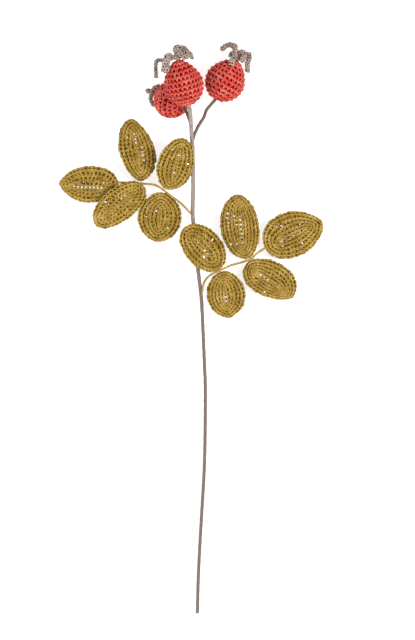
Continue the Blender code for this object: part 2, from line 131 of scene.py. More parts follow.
# How far the turns of yarn on a stalk stand out, and the rings and sides that draw them
STALK_RELIEF, STALK_STEP, STALK_SIDES = 0.16, 0.32, 12
STALKS = {
    "left": (
        (0.2, 99.8, 20.6), (-7.7, 108.2, 19.2), (-16.5, 114.8, 17.6), (-23.0, 119.9, 16.4),
        (-28.1, 123.5, 15.6), (-32.5, 125.2, 15.0), (-39.8, 125.9, 14.0), (-45.0, 126.4, 13.2),
        (-63.4, 127.2, 11.2),
    ),
    "right": (
        (10.4, 31.4, 14.7), (10.9, 36.1, 14.8), (12.2, 40.5, 14.9), (15.6, 44.9, 14.9),
        (21.4, 48.5, 14.8), (27.2, 51.0, 14.6), (34.5, 54.3, 14.2), (41.8, 56.5, 13.8),
        (47.6, 58.3, 13.4), (53.5, 60.9, 12.8), (58.6, 65.6, 12.2), (65.2, 69.9, 11.8),
    ),
}
# Leaflets: base and tip, half width left and right of the way from base to tip, how pointed the tip and
# the base are, where the left and right bellies sit, rise of the edges, rise of the middle, roll in
# degrees, how far the foundation chain lies to the left at base and tip, and the eyelets that are open
# right through, each as (along, left)
Leaflet = namedtuple("Leaflet", (
    "base", "tip", "left", "right", "tip_point", "base_point", "left_belly", "right_belly", "cup", "arch",
    "roll", "aside", "eyelets"))
LEAFLETS = {
    "left_1": Leaflet(
        (-63.4, 126.9, 11.0), (-114.6, 126.7, 6.5), 17.3, 14.7, 1.45, 1.10, 0.00, -0.10, 1.0, 1.0, 0,
        (5.5, 2.6), ((38.6, 2.6), (35.1, 2.7), (31.6, 2.9), (28.1, 3.5), (24.5, 3.8), (21.0, 4.3),
        (17.5, 4.5), (14.4, 4.5), (30.7, -1.0), (12.2, 0.1))),
    "left_2": Leaflet(
        (-43.2, 128.0, 11.5), (-52.6, 182.7, 8.5), 14.2, 16.3, 1.30, 1.35, 0.10, -0.22, 5.0, 1.0, 0,
        (-1.2, -0.8), ((41.9, -1.3), (37.6, -0.5), (33.8, -0.6), (29.5, -5.7), (25.4, -5.7), (21.7, -5.7),
        (18.0, -5.4), (40.6, 5.2), (29.1, 7.4))),
    "left_3": Leaflet(
        (-21.3, 121.0, 17.2), (-5.1, 164.9, 33.0), 15.5, 15.8, 0.95, 1.35, 0.00, -0.12, 1.0, 1.5, -7,
        (-2.6, 1.2), ((37.3, 6.6), (33.7, 0.7), (29.1, -10.2), (20.9, -1.9), (17.2, -2.3))),
    "left_4": Leaflet(
        (-41.2, 124.4, 18.0), (-82.7, 89.7, 14.0), 13.9, 15.4, 1.00, 0.90, -0.10, 0.05, 0.5, 2.0, 0,
        (-1.5, 0.5), ((34.9, -9.3), (18.2, -3.4), (21.9, -3.0))),
    "left_5": Leaflet(
        (-24.6, 118.3, 13.6), (-29.3, 75.3, 8.0), 18.9, 19.2, 1.18, 1.22, 0.00, 0.00, 2.0, 1.0, 4,
        (-1.0, 0.5), ((22.0, -12.0), (16.7, -3.8), (30.4, 8.3))),
    "right_1": Leaflet(
        (64.9, 70.1, 11.8), (115.4, 92.1, 6.0), 21.4, 18.5, 1.35, 0.95, -0.12, -0.05, 2.0, 1.0, 0,
        (-1.9, 2.5), ((35.0, 2.2), (31.3, 1.5), (27.4, 1.2), (23.0, 0.8), (19.2, 0.9), (15.6, 0.6),
        (36.0, 6.4), (21.1, 12.6), (31.7, -9.2), (15.3, -4.9))),
    "right_2": Leaflet(
        (49.1, 60.4, 10.2), (40.6, 116.4, 7.0), 18.6, 14.9, 1.10, 1.10, 0.00, 0.00, 3.0, 1.0, 0,
        (2.8, -1.2), ((38.0, 0.1), (34.2, 0.0), (30.3, 0.5), (26.5, 1.0), (22.3, 1.4), (17.9, 1.4),
        (14.1, 1.8), (38.6, 5.4), (34.8, 5.0), (31.0, 4.8), (14.0, 6.6), (42.0, 10.2), (37.8, 11.4),
        (33.6, 10.7), (14.1, 11.7))),
    "right_3": Leaflet(
        (49.2, 56.6, 10.2), (89.9, 27.1, 6.5), 17.2, 15.8, 1.35, 1.05, 0.20, -0.28, 1.5, 1.5, 0,
        (-2.5, 0.5), ((23.2, -1.4), (19.4, -1.0), (15.7, -2.0), (14.1, -5.9), (27.0, -11.5))),
    "right_4": Leaflet(
        (26.6, 52.6, 16.6), (-5.8, 87.4, 23.0), 15.8, 17.0, 0.98, 0.98, -0.05, 0.00, 0.5, 1.5, 0,
        (0.2, 0.0), ((20.9, 0.2), (17.0, -0.4), (17.2, 4.2), (12.6, 3.0), (23.3, -10.9), (30.4, -0.7))),
    "right_5": Leaflet(
        (28.7, 49.6, 11.2), (32.6, 9.0, 7.0), 17.3, 16.4, 1.32, 1.10, 0.04, 0.00, 1.5, 1.0, 0,
        (-0.6, 0.2), ((22.7, -0.7), (26.4, -0.3))),
}
MIDRIB_END = 0.70
# In these leaflets the posts of the stitches stand out; in the others it's the chains along the rows
POSTED = ("left_1", "left_4")
# Both styles: how far the posts are sunk, the chains' radius in yarn radii and their lift, and where the
# links across the foundation chain lie, as a share of their full height
POST_STYLE = (0.0, 0.95, 0.55, 1.0)
CHAIN_STYLE = (0.30, 1.12, 0.90, -0.1)
EYELET_RADIUS = 0.68
# How high the row along a leaflet's edge is, and the spacing of the links across its foundation chain
EDGE_HEIGHT = 2.9
LINK_SPACING = 1.85
# Half the thickness of the layer between a leaflet's two faces
LAYER_HALF = 0.55
# Number of sides of a strand of yarn, and of plies twisted into it
YARN_SIDES = 5
PLIES = 3
# No yarn or tape lies lower than this over the floor
LOWEST = 0.02
# How far the tape runs into each hip, and the length over which it turns to the hip's axis before that
TAPE_IN_HIP, TAPE_TURN = 0.9, 2.5
# The thickness that the tape and its creases add, the share of the radius that the hollow in its cut end
# takes, and the hollow's depth
TAPE_LIFT, CREASE_LIFT, HOLLOW_SHARE, HOLLOW_DEPTH = 0.13, 0.025, 0.52, 1.5
# Distance between the rings of the tape
TAPE_STEP = 0.55



def mirrored(*left_half):
    """A stitch from its left half: the same points again from right to left, without the middle one twice."""
    half = np.array(left_half)
    return np.vstack((half, half[half[:, 0] != 0][::-1] * (-1.0, 1.0, 1.0, 1.0)))


# One single crochet seen from outside is a yarn arch with its top towards the next round.
# Each step of the arch: across in stitch widths, up in round heights, lift in mm, share of the yarn's radius
ARCH = mirrored(
    (-0.41, -0.60, -2.00, 0.80),
    (-0.46, -0.36, -1.30, 1.00),
    (-0.44, -0.02, -0.90, 1.05),
    (-0.30, 0.30, -0.62, 1.10),
    (0.00, 0.50, -0.45, 1.15),
)
# The yarn of a calyx's broad flat arms lies fuller than that of its round ones, and closes most gaps
FLAT_ARM_YARN = 1.22
# The strand along the top of each round of a hip: its lift in mm, its radius in yarn radii, and how far it
# ripples up and sways along with the arches. The side hips' rounds stand out more, as nearly plain ridges.
RIDGES = {
    "centre": (-0.24, 1.26, 0.25, 0.14),
    "right": (-0.32, 1.50, 0.14, 0.09),
    "left": (-0.22, 1.55, 0.12, 0.08),
}
# The short stretch of yarn that shows low inside each arch of a hip
TONGUE = np.array((
    (0.0, -0.58, -0.70, 0.70),
    (0.0, -0.38, -0.60, 0.72),
    (0.0, -0.22, -0.90, 0.65),
    (0.0, -0.12, -1.70, 0.50),
))
# The knob that the doubled top of each stitch of a calyx makes
KNOB = mirrored(
    (-0.30, 0.22, -0.50, 0.80),
    (-0.11, 0.30, -0.18, 1.20),
)
# The same arch in a leaflet, which is worked tighter, and along its edge, where the tops turn over
LEAF_ARCH = mirrored(
    (-0.40, -0.60, 0.10, 0.80),
    (-0.46, -0.36, 0.40, 1.00),
    (-0.44, -0.02, 0.55, 1.05),
    (-0.28, 0.26, 0.62, 1.10),
    (0.00, 0.40, 0.62, 1.10),
)
EDGE_ARCH = mirrored(
    (-0.45, -0.55, 0.50, 0.80),
    (-0.49, -0.20, 0.70, 0.82),
    (-0.47, 0.12, 0.58, 0.95),
    (-0.28, 0.29, 0.40, 1.08),
    (0.00, 0.32, 0.32, 1.10),
)
# One half of the V that each stitch lays on the surface along its row; the other half is its mirror image
HALF_V = np.array((
    (-0.64, -0.12, -0.75, 0.60),
    (-0.36, -0.17, 0.00, 1.05),
    (0.04, -0.13, 0.24, 1.20),
    (0.40, -0.02, -0.50, 0.65),
))

# ---------------------------------------------------------------- reckoning with whole arrays


def unit(ways):
    """Each way divided by its own length."""
    return ways / np.maximum(np.linalg.norm(ways, axis=-1, keepdims=True), 1e-9)


def smooth_line(points, step):
    """Points one step apart on the smooth curve through the given ones, any number of values each.

    Between two points the curve is the cubic that leaves each along the line joining its neighbours.
    """
    points = np.array(points, float)
    ends = np.vstack((2 * points[0] - points[1], points, 2 * points[-1] - points[-2]))
    place = np.linspace(0, len(points) - 1, 24 * (len(points) - 1) + 1)
    first = np.minimum(place.astype(int), len(points) - 2)
    t = (place - first)[:, None]
    before, start, end, after = (ends[first + more] for more in range(4))
    fine = 0.5 * (2 * start + (end - before) * t + (2 * before - 5 * start + 4 * end - after) * t ** 2
                  + (3 * start - before - 3 * end + after) * t ** 3)
    return respaced(fine, step)


def respaced(points, step):
    """The same line, with its points set out evenly along its length."""
    length = run_of(points)
    even = np.linspace(0, length[-1], max(3, int(round(length[-1] / step)) + 1))
    return np.stack([np.interp(even, length, values) for values in points.T], axis=1)


def run_of(points):
    """How far along the line each point is: the sum of the steps before it."""
    steps = np.linalg.norm(np.diff(points[..., :3], axis=-2), axis=-1)
    return np.concatenate((np.zeros(steps.shape[:-1] + (1,)), np.cumsum(steps, axis=-1)), axis=-1)


def laid(form, around, along, lift):
    """Points lifted off a form, and the form's outward ways there.

    The outward way is the cross product of the form's two slopes, each from a small step either way.
    """
    small = 1e-4
    across = form(around + small, along) - form(around - small, along)
    onward = form(around, along + small) - form(around, along - small)
    outward = unit(np.cross(across, onward))
    return form(around, along) + outward * lift[..., None], outward


def strands(paths, radii, lifts):
    """Closed strands of yarn along many paths at once, as (points, faces with their yarn map).

    Each path point gets a ring: the point plus the radius times (cosine of the angle times the side way
    plus its sine times the rise), where the side way is square to both slope and lift. The yarn map has
    the length along the strand in mm and the share of a turn around it. Both ends are closed.
    """
    count, steps, _ = paths.shape
    slope = unit(np.gradient(paths, axis=1))
    side = unit(np.cross(slope, lifts))
    rise = np.cross(side, slope)
    angle = np.arange(YARN_SIDES) / YARN_SIDES * TURN
    ring = np.cos(angle)[:, None] * side[:, :, None] + np.sin(angle)[:, None] * rise[:, :, None]
    points = paths[:, :, None] + np.broadcast_to(radii, (count, steps))[..., None, None] * ring
    return points.reshape(-1, 3), tube_faces(count, steps, YARN_SIDES, run_of(paths))


def corner_map(low_u, high_u, low_v, high_v):
    """The yarn map of quads whose corners go up in u, then in v, then back down in u."""
    corners = ((low_u, low_v), (high_u, low_v), (high_u, high_v), (low_u, high_v))
    return np.stack([np.stack(corner, -1) for corner in corners], axis=-2).reshape(-1, 4, 2)


def tube_faces(count, steps, sides, length):
    """Faces and yarn map of tubes whose rings follow one another, with a flat face at either end."""
    ring_start = (np.arange(count)[:, None, None] * steps + np.arange(steps - 1)[None, :, None]) * sides
    here = np.arange(sides)
    after = (here + 1) % sides
    quads = np.stack((ring_start + here, ring_start + sides + here, ring_start + sides + after,
                      ring_start + after), axis=-1).reshape(-1, 4)
    low = np.broadcast_to(length[:, :-1, None], (count, steps - 1, sides))
    high = np.broadcast_to(length[:, 1:, None], (count, steps - 1, sides))
    turn = np.broadcast_to(here / sides, low.shape)
    quad_map = corner_map(low, high, turn, turn + 1 / sides)
    first_ring = np.arange(count)[:, None] * steps * sides
    starts = first_ring + here
    ends = first_ring + (steps - 1) * sides + here[::-1]
    caps = np.vstack((starts, ends))
    return [(quads, quad_map), (caps, np.zeros((*caps.shape, 2)))]


def grid(along, columns):
    """The places along, row after row, and the even ways round at each: two arrays of one shape."""
    return np.meshgrid(along, np.arange(columns) / columns, indexing="ij")


def sheet_faces(rows, columns):
    """Quads and yarn map of a grid whose columns close into a ring, row after row."""
    row = np.arange(rows - 1)[:, None]
    here = np.arange(columns)[None]
    after = (here + 1) % columns
    low, high = row * columns, (row + 1) * columns
    quads = np.stack((low + here, low + after, high + after, high + here), axis=-1).reshape(-1, 4)
    u = here / columns + 0 * row
    v = row / rows + 0 * here
    return quads, corner_map(u, u + 1 / columns, v, v + 1 / rows)


def closed_ring_form(form, ends, rows, columns, lift):
    """The form's whole surface at one lift, closed by a flat face at either end."""
    along, around = grid(np.linspace(*ends, rows), columns)
    points, _ = laid(form, around, along, np.full(around.shape, lift))
    quads, quad_map = sheet_faces(rows, columns)
    first = np.arange(columns)[None, ::-1]
    last = (rows - 1) * columns + np.arange(columns)[None]
    caps = np.vstack((first, last))
    return points.reshape(-1, 3), [(quads, quad_map), (caps, np.zeros((*caps.shape, 2)))]


def stitch_arches(form, rounds, yarn_radius, shape, flip, unevenness):
    """Paths, radii and lifts of every stitch: the arch set out at each stitch's place on the form.

    Each round is (stitches, place along the form, height, share of a stitch by which it is shifted). A
    stitch's own across and up are scaled by the round's stitch width and height and wobble slightly.
    """
    counts = np.array([entry[0] for entry in rounds])
    number = np.concatenate([np.arange(count) for count in counts])
    count, middle, height, shift = (np.repeat(values, counts) for values in zip(*rounds))
    wobble = CHANCE.normal(0.0, unevenness, (3, len(number), 1))
    size = 1 + CHANCE.normal(0.0, 1.2 * unevenness, (len(number), 1))
    around = (number[:, None] + 0.5 + shift[:, None] + shape[:, 0] * size + wobble[0]) / count[:, None]
    along = middle[:, None] + (shape[:, 1] * size + wobble[1]) * height[:, None]
    paths, outward = laid(form, around, along, flip * (shape[:, 2] + 2 * wobble[2]))
    return paths, yarn_radius * shape[:, 3] * size, outward


def worked(form, rounds, yarn_radius, shape, unevenness=0.035):
    """One layer of stitches as an item of the first finish."""
    return (*strands(*stitch_arches(form, rounds, yarn_radius, shape, 1.0, unevenness)), 0)


def round_ridges(form, rounds, lift, radius, ripple, sway, above=0.52):
    """One strand of yarn along the top of each round, higher and further on at each arch's top."""
    made = []
    for count, middle, height, shift in rounds:
        around = np.linspace(0, 1, 4 * count + 1)[None]
        wave = -np.cos(TURN * (around * count - shift))
        path, outward = laid(form, around, middle + (above + sway * wave) * height, lift + ripple * wave)
        made.append(strands(path, radius, outward))
    return made


def braid(form, rows, radius, lift, flip):
    """Paths, radii and lifts of the chain of V's along each row: both halves of every V."""
    made = []
    for side in (-1.0, 1.0):
        half = HALF_V * (1.0, side, 1.0, 1.0) + (0.0, 0.0, lift, 0.0)
        made.append(stitch_arches(form, rows, radius, half, flip, 0.05))
    return [np.concatenate(values) for values in zip(*made)]


def placed(items, axes, origin):
    """The items with their points turned to the axes (in columns) and moved to the origin."""
    return [(points @ axes.T + origin, faces, finish) for points, faces, finish in items]


def piece(name, items, finishes, floor=None):
    """One object of all the items, in metres at the world's origin.

    Each item is (points in mm, [(faces, yarn map), ...], number of its finish). Nothing goes below floor.
    """
    points, corners, starts, maps, slots = [], [], [], [], []
    offset = 0
    loops = 0
    for item_points, faces, finish in items:
        points.append(item_points)
        for polygons, yarn_map in faces:
            corners.append((polygons + offset).ravel())
            starts.append(loops + np.arange(len(polygons)) * polygons.shape[1])
            maps.append(yarn_map.reshape(-1, 2))
            slots.append(np.full(len(polygons), finish))
            loops += polygons.size
        offset += len(item_points)
    points = np.concatenate(points) + SHIFT
    if floor is not None:
        points[:, 2] = np.maximum(points[:, 2], floor)
    corners, starts, maps, slots = (np.concatenate(values) for values in (corners, starts, maps, slots))
    mesh = bpy.data.meshes.new(name)
    mesh.vertices.add(len(points))
    mesh.vertices.foreach_set("co", (points * MM).ravel())
    mesh.loops.add(len(corners))
    mesh.loops.foreach_set("vertex_index", corners.astype(np.int32))
    mesh.polygons.add(len(starts))
    mesh.polygons.foreach_set("loop_start", starts.astype(np.int32))
    mesh.polygons.foreach_set("material_index", slots.astype(np.int32))
    mesh.update(calc_edges=True)
    mesh.uv_layers.new(name="yarn")
    mesh.uv_layers["yarn"].uv.foreach_set("vector", maps.ravel())
    for finish in finishes:
        mesh.materials.append(finish)
    mesh.shade_smooth()
    mesh.set_sharp_from_angle(angle=np.radians(75))
    mesh.validate()
    made = bpy.data.objects.new(name, mesh)
    bpy.context.scene.collection.objects.link(made)
    return made


def stands_for(made, node_name):
    """Ride the piece on the sprig, in the place of its CAD node, which is hidden."""
    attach(made, "root")
    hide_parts(node_name)


# ---------------------------------------------------------------- forms


def turned_form(reach, height):
    """A form turned about Z from an outline: at a length along it, reach times (cos, sin), and height."""
    length = run_of(np.stack((reach, height, 0 * reach), axis=1))

    def form(around, along):
        out = np.interp(along, length, reach)
        rise = np.interp(along, length, height)
        return np.stack((out * np.cos(around * TURN), out * np.sin(around * TURN), rise), axis=-1)

    return form, length[-1]


def axes_about(way):
    """Axes in columns with Z along the way, turned there from Z by the shortest turn."""
    return np.array(Vector((0.0, 0.0, 1.0)).rotation_difference(Vector(way).normalized()).to_matrix())


def tube_form(line, width, thick, ref):
    """A closed tube along a line: at a length along it, an ellipse of the two radii across the line.

    width and thick give both radii at every point of the line, and ref the way that the ellipse's
    thickness faces. With f as how flat it is, f times the sine of twice the angle is added to the angle,
    so that equal shares of a turn are nearly equal lengths.
    """
    length = run_of(line)
    slope = unit(np.gradient(line[:, :3], axis=0))
    side = unit(np.cross(ref, slope))
    rise = np.cross(slope, side)

    def along_line(values, place):
        return np.stack([np.interp(place, length, values[:, axis]) for axis in range(3)], axis=-1)

    def form(around, along):
        wide, tall = np.interp(along, length, width), np.interp(along, length, thick)
        angle = around * TURN
        angle = angle + 0.5 * (wide - tall) / (wide + tall) * np.sin(2 * angle)
        wide, tall = (wide * np.cos(angle))[..., None], (tall * np.sin(angle))[..., None]
        across = wide * along_line(side, along)
        return along_line(line[:, :3], along) + across + tall * along_line(rise, along)

    return form, length[-1]


def leaf_form(shape):
    """A leaflet's level, as a function of the way round it and the share from foundation chain to edge.

    With a as the angle round the edge from the tip, the edge is half the length times (cos a + belly
    times sin² a) along, and the half width times |sin a| to the power of the point across. The foundation
    chain is the same angle's cos a on a shorter line. The level is a straight share of the way between
    them, bent up towards the edges by the cup and in the middle by the arch. Ways round are evened out,
    so that equal shares of a turn are equal lengths on each half of the row.
    """
    half_length = np.linalg.norm(np.subtract(shape.tip, shape.base)) / 2
    rib = half_length - MIDRIB_END * (shape.left + shape.right) / 2
    low, high = shape.aside

    def level(angle, share):
        along, across = np.cos(angle), np.sin(angle)
        half_width = np.where(across > 0, shape.left, shape.right)
        point = np.where(along > 0, shape.tip_point, shape.base_point)
        belly = np.where(across > 0, shape.left_belly, shape.right_belly)
        edge_x = half_length * (along + belly * across ** 2)
        edge_y = np.sign(across) * half_width * np.abs(across) ** point
        aside = low + (high - low) * (rib * along / half_length + 1) / 2
        x = rib * along + share * (edge_x - rib * along)
        y = aside + share * (edge_y - aside)
        bend = shape.cup * (y / half_width) ** 2 + shape.arch * (1 - (x / half_length) ** 2)
        return np.stack((x + half_length, y, bend), axis=-1)

    turns = np.linspace(0, TURN, 721)
    shares = np.linspace(0.02, 1.0, 15)
    ways = np.linspace(0, 1, 361)
    angles = np.empty((len(shares), len(ways)))
    for row, share in enumerate(shares):
        length = run_of(level(turns, share))
        half = length[360]
        later = 0.5 + 0.5 * (length[361:] - half) / (length[-1] - half)
        even = np.concatenate((0.5 * length[:361] / half, later))
        angles[row] = np.interp(ways, even, turns)

    def form(around, share):
        around, share = np.broadcast_arrays(np.asarray(around, float), np.asarray(share, float))
        whole = np.floor(around)
        column = (around - whole) * (len(ways) - 1)
        low = np.minimum(column.astype(int), len(ways) - 2)
        row = np.clip((share - shares[0]) / (shares[-1] - shares[0]), 0, 1) * (len(shares) - 1)
        under = np.minimum(row.astype(int), len(shares) - 2)
        part, step = column - low, row - under
        angle = ((1 - step) * ((1 - part) * angles[under, low] + part * angles[under, low + 1])
                 + step * ((1 - part) * angles[under + 1, low] + part * angles[under + 1, low + 1]))
        return level(angle + whole * TURN, share)

    return form, half_length


def settled_eyelets(form, eyelets, aside, full_length):
    """Each eyelet beside the foundation chain or just past its ends, moved onto the chain's own line."""
    eyelets = np.array(eyelets)
    line = aside[0] + (aside[1] - aside[0]) * eyelets[:, 0] / full_length
    ends = form(np.array((0.5, 0.0)), np.array((0.0, 0.0)))[:, 0]
    beside = np.abs(eyelets[:, 1] - line) < 2.2
    on_line = beside & (eyelets[:, 0] > ends[0] - 3) & (eyelets[:, 0] < ends[1] + 3)
    return np.where(on_line[:, None], np.stack((eyelets[:, 0], line), axis=1), eyelets)


def foundation_chain(form, aside, full_length, eyelets, radius, face):
    """The links across the foundation chain: short strands from one side to the other, clear of eyelets."""
    ends = form(np.array((0.0, 0.5)), np.array((0.0, 0.0)))[:, 0]
    along = np.arange(ends.min() + 0.6, ends.max(), LINK_SPACING)
    line = aside[0] + (aside[1] - aside[0]) * along / full_length
    across = np.array((-1.5, -0.6, 0.6, 1.5))
    drop = np.array((0.15, 0.62, 0.62, 0.15))
    paths = np.stack(np.broadcast_arrays(along[:, None] + 0.35 * across, line[:, None] + across,
                                         face * drop + form(0.25, 0.5)[2]), axis=-1)
    distance = np.linalg.norm(paths.mean(axis=1)[:, None, :2] - eyelets, axis=-1)
    kept = distance.min(axis=1) > EYELET_RADIUS + 0.5
    lifts = np.broadcast_to(np.sign(face) * UP, paths[kept].shape)
    return strands(paths[kept], 1.05 * radius, lifts)


def pushed_aside(points, eyelets, clear, reach=2.5):
    """Points near an eyelet moved away from its middle, so that it stays clear; none beyond the reach."""
    away = points[..., None, :2] - eyelets
    distance = np.linalg.norm(away, axis=-1)
    nearest = distance.argmin(axis=-1)[..., None]
    gap = np.take_along_axis(distance, nearest, axis=-1)
    way = np.take_along_axis(away, nearest[..., None], axis=-2)[..., 0, :] / np.maximum(gap, 1e-6)
    target = np.where(gap < reach, clear + (reach - clear) * gap / reach, gap)
    moved = points.copy()
    moved[..., :2] += way * (target - gap)
    return moved


def beside_eyelets(strand, eyelets, clear):
    """The strands (paths, radii, outward ways) pushed clear of the eyelets, less those still across one."""
    paths, radii, outward = strand
    paths = pushed_aside(paths, eyelets, clear)
    middles = (paths[:, 1:] + paths[:, :-1]) / 2
    distance = np.linalg.norm(middles[..., None, :2] - eyelets, axis=-1)
    kept = distance.min(axis=(1, 2)) > 0.7 * clear
    return paths[kept], radii[kept], outward[kept]


# ---------------------------------------------------------------- materials


def linear(shade):
    """The linear colour of an sRGB hex: channel c is ((c + 0.055) / 1.055) ** 2.4, or c / 12.92 if dark."""
    channel = np.array([int(shade[place:place + 2], 16) for place in (1, 3, 5)]) / 255
    return tuple(float(value) for value in
                 np.where(channel > 0.04045, ((channel + 0.055) / 1.055) ** 2.4, channel / 12.92))


def add(tree, kind, inputs=None, **settings):
    """Add one shader node with its settings; each input is a value or another node's output."""
    made = tree.nodes.new("ShaderNode" + kind)
    for name, value in settings.items():
        setattr(made, name, value)
    for place, value in (inputs or {}).items():
        if isinstance(value, bpy.types.NodeSocket):
            tree.links.new(value, made.inputs[place])
        else:
            made.inputs[place].default_value = value
    return made


def reckon(tree, operation, *values):
    """The result of one Math node."""
    return add(tree, "Math", dict(enumerate(values)), operation=operation).outputs[0]


def noise(tree, place, size_mm, detail):
    """A noise whose pattern is about as large as the size."""
    values = {"Vector": place, "Scale": 1 / (size_mm * MM), "Detail": detail}
    return add(tree, "TexNoise", values).outputs["Fac"]


def mixed(tree, share, low, high):
    """The blend of two colours; the low one may be another node's output."""
    low = low if isinstance(low, bpy.types.NodeSocket) else (*low, 1.0)
    return add(tree, "Mix", {0: share, 6: low, 7: (*high, 1.0)}, data_type="RGBA").outputs[2]


def blank(name, **shader_values):
    """A material with one Principled shader, whose fixed values are set on its own sockets."""
    made = bpy.data.materials.new(name)
    made.use_nodes = True
    shader = made.node_tree.nodes["Principled BSDF"]
    for socket, value in shader_values.items():
        shader.inputs[socket.replace("_", " ").title().replace("Ior", "IOR")].default_value = value
    return made, made.node_tree, shader


def surfaced(tree, shader, colour, height, strength, depth_mm):
    """Give the shader its colour, and a bump of the height in its normal."""
    bump = add(tree, "Bump", {"Height": height, "Strength": strength, "Distance": depth_mm * MM})
    tree.links.new(colour, shader.inputs["Base Color"])
    tree.links.new(bump.outputs["Normal"], shader.inputs["Normal"])


def cotton(name, shade, light, deep, ply_mm):
    """Mercerised cotton crochet yarn, three plies twisted together and worked tight.

    To the eye it is a soft matte thread with a faint silky edge sheen, fine diagonal ply lines, short
    fibres too fine to count, and a slight change of dye from one stretch to the next. The outer side of
    each strand is painted paler than its underside, and the ply crests paler than the ply grooves: painted
    light and shade.
    """
    made, tree, shader = blank(name, roughness=0.82, specular_ior_level=0.25,
                               sheen_weight=0.10, sheen_roughness=0.45)
    shader.inputs["Sheen Tint"].default_value = (*light, 1.0)
    yarn_map = add(tree, "UVMap", uv_map="yarn").outputs["UV"]
    split = add(tree, "SeparateXYZ", {0: yarn_map}).outputs
    turn = reckon(tree, "MULTIPLY", split[1], TURN * PLIES)
    ply = reckon(tree, "SINE", reckon(tree, "MULTIPLY_ADD", split[0], TURN / ply_mm, turn))
    place = add(tree, "TexCoord").outputs["Object"]
    fibre = noise(tree, place, 0.28, 2.0)
    ridge = reckon(tree, "MULTIPLY_ADD", ply, 0.22, fibre)
    dyed = reckon(tree, "MULTIPLY_ADD", noise(tree, place, 7, 2.0), 0.5, -0.15)
    # Painted light and shade: the outer side of each strand is painted lighter and its underside darker,
    # added to the random dye.
    outer = reckon(tree, "SINE", reckon(tree, "MULTIPLY", split[1], TURN))
    dye_and_painted_light = reckon(tree, "MULTIPLY_ADD", outer, 0.13, dyed)
    # The ramp paints shade, the deep colour, into the ply grooves and the strands' undersides, and a
    # highlight, the light colour, on the ply crests and tops. The fibre noise and the dye add random tone.
    ramp = add(tree, "ValToRGB", {0: reckon(tree, "MULTIPLY_ADD", ridge, 0.5, dye_and_painted_light)})
    stops = ramp.color_ramp.elements
    stops[0].position, stops[0].color = 0.12, (*deep, 1.0)
    stops[1].position, stops[1].color = 0.78, (*light, 1.0)
    stops.new(0.46).color = (*shade, 1.0)
    surfaced(tree, shader, ramp.outputs["Color"], ridge, 0.55, 0.22)
    return made


def painted_shade_cotton(name, shade, deep):
    """The same cotton deep inside the fabric, seen only through the gaps between the stitches, coloured dark
    as painted shade.
    """
    made, tree, shader = blank(name, roughness=0.95, specular_ior_level=0.05)
    weave = noise(tree, add(tree, "TexCoord").outputs["Object"], 0.9, 3.0)
    surfaced(tree, shader, mixed(tree, weave, deep, shade), weave, 0.6, 0.3)
    return made


def floral_tape(name, upper, lower, shadow):
    """Waxed crepe floral tape, wound on in a slant: matte, faintly mottled, with fine crinkles."""
    made, tree, shader = blank(name, roughness=0.62)
    place = add(tree, "TexCoord").outputs["Object"]
    height = add(tree, "SeparateXYZ", {0: place}).outputs[1]
    climb = add(tree, "MapRange", {0: height, 1: 0.03, 2: 0.15}).outputs[0]
    yarn_map = add(tree, "UVMap", uv_map="yarn").outputs["UV"]
    stretched = add(tree, "Mapping", {0: yarn_map, 3: (0.8, 6.0, 1.0)}).outputs[0]
    crinkle = add(tree, "TexNoise", {"Vector": stretched, "Scale": 1.6, "Detail": 3.0}).outputs["Fac"]
    share = add(tree, "MapRange", {0: noise(tree, place, 2.5, 3.0), 1: 0.42, 2: 0.75, 4: 0.55}).outputs[0]
    colour = mixed(tree, share, mixed(tree, climb, lower, upper), shadow)
    surfaced(tree, shader, colour, crinkle, 0.5, 0.2)
    return made


def polyester_fill(name):
    """Loose white polyester stuffing: a soft tangle of fine crimped fibres."""
    made, tree, shader = blank(name, roughness=0.95, sheen_weight=0.3)
    tangle = noise(tree, add(tree, "TexCoord").outputs["Object"], 1.2, 6.0)
    surfaced(tree, shader, mixed(tree, tangle, linear("#C9C7C0"), linear("#F2F1EC")), tangle, 0.8, 0.6)
    return made


def drawn_steel(name):
    """Bright drawn steel wire: grey metal with faint lines along the way it was drawn."""
    made, tree, shader = blank(name, metallic=1.0)
    place = add(tree, "TexCoord").outputs["Object"]
    lines = add(tree, "Mapping", {0: place, 3: (9000.0, 300.0, 9000.0)}).outputs[0]
    streak = add(tree, "TexNoise", {"Vector": lines, "Scale": 1.0, "Detail": 2.0}).outputs["Fac"]
    tree.links.new(mixed(tree, streak, linear("#8E8E90"), linear("#B9B9BB")), shader.inputs["Base Color"])
    rough = add(tree, "MapRange", {0: streak, 3: 0.28, 4: 0.45}).outputs[0]
    tree.links.new(rough, shader.inputs["Roughness"])
    return made


# ---------------------------------------------------------------- sizes and colours


def length_of(name, description, millimetres):
    """A property that holds a length, with its default given in millimetres."""
    return bpy.props.FloatProperty(name=name, description=description, default=millimetres * MM, min=0.0,
                                   subtype="DISTANCE", unit="LENGTH", precision=5)


def colour_of(name, description, shade):
    """A property that holds a colour, with its default given as an sRGB hex."""
    return bpy.props.FloatVectorProperty(name=name, description=description, default=linear(shade), size=3,
                                         subtype="COLOR", min=0.0, max=1.0)


class SprigSizes(bpy.types.PropertyGroup):
    """Stitch and tape sizes."""

    hip_stitch: length_of("Hip stitch", "Width of one stitch of a hip", 4.4)
    hip_round: length_of("Hip round", "Height of one round of a hip", 4.4)
    hip_yarn: length_of("Hip yarn", "Radius of the yarn of a hip", 0.64)
    leaf_stitch: length_of("Leaf stitch", "Width of one stitch of a leaflet", 3.6)
    leaf_row: length_of("Leaf row", "Height of one row of a leaflet", 3.6)
    leaf_yarn: length_of("Leaf yarn", "Radius of the yarn of a leaflet", 0.58)
    calyx_stitch: length_of("Calyx stitch", "Width and height of one stitch of a calyx", 2.6)
    calyx_yarn: length_of("Calyx yarn", "Radius of the yarn of a calyx", 0.50)
    tape_lap: length_of("Tape lap", "Length of stem that one turn of the tape covers", 8.0)
    stalk_turn: length_of("Stalk turn", "Length of stalk that one turn of yarn covers", 1.25)


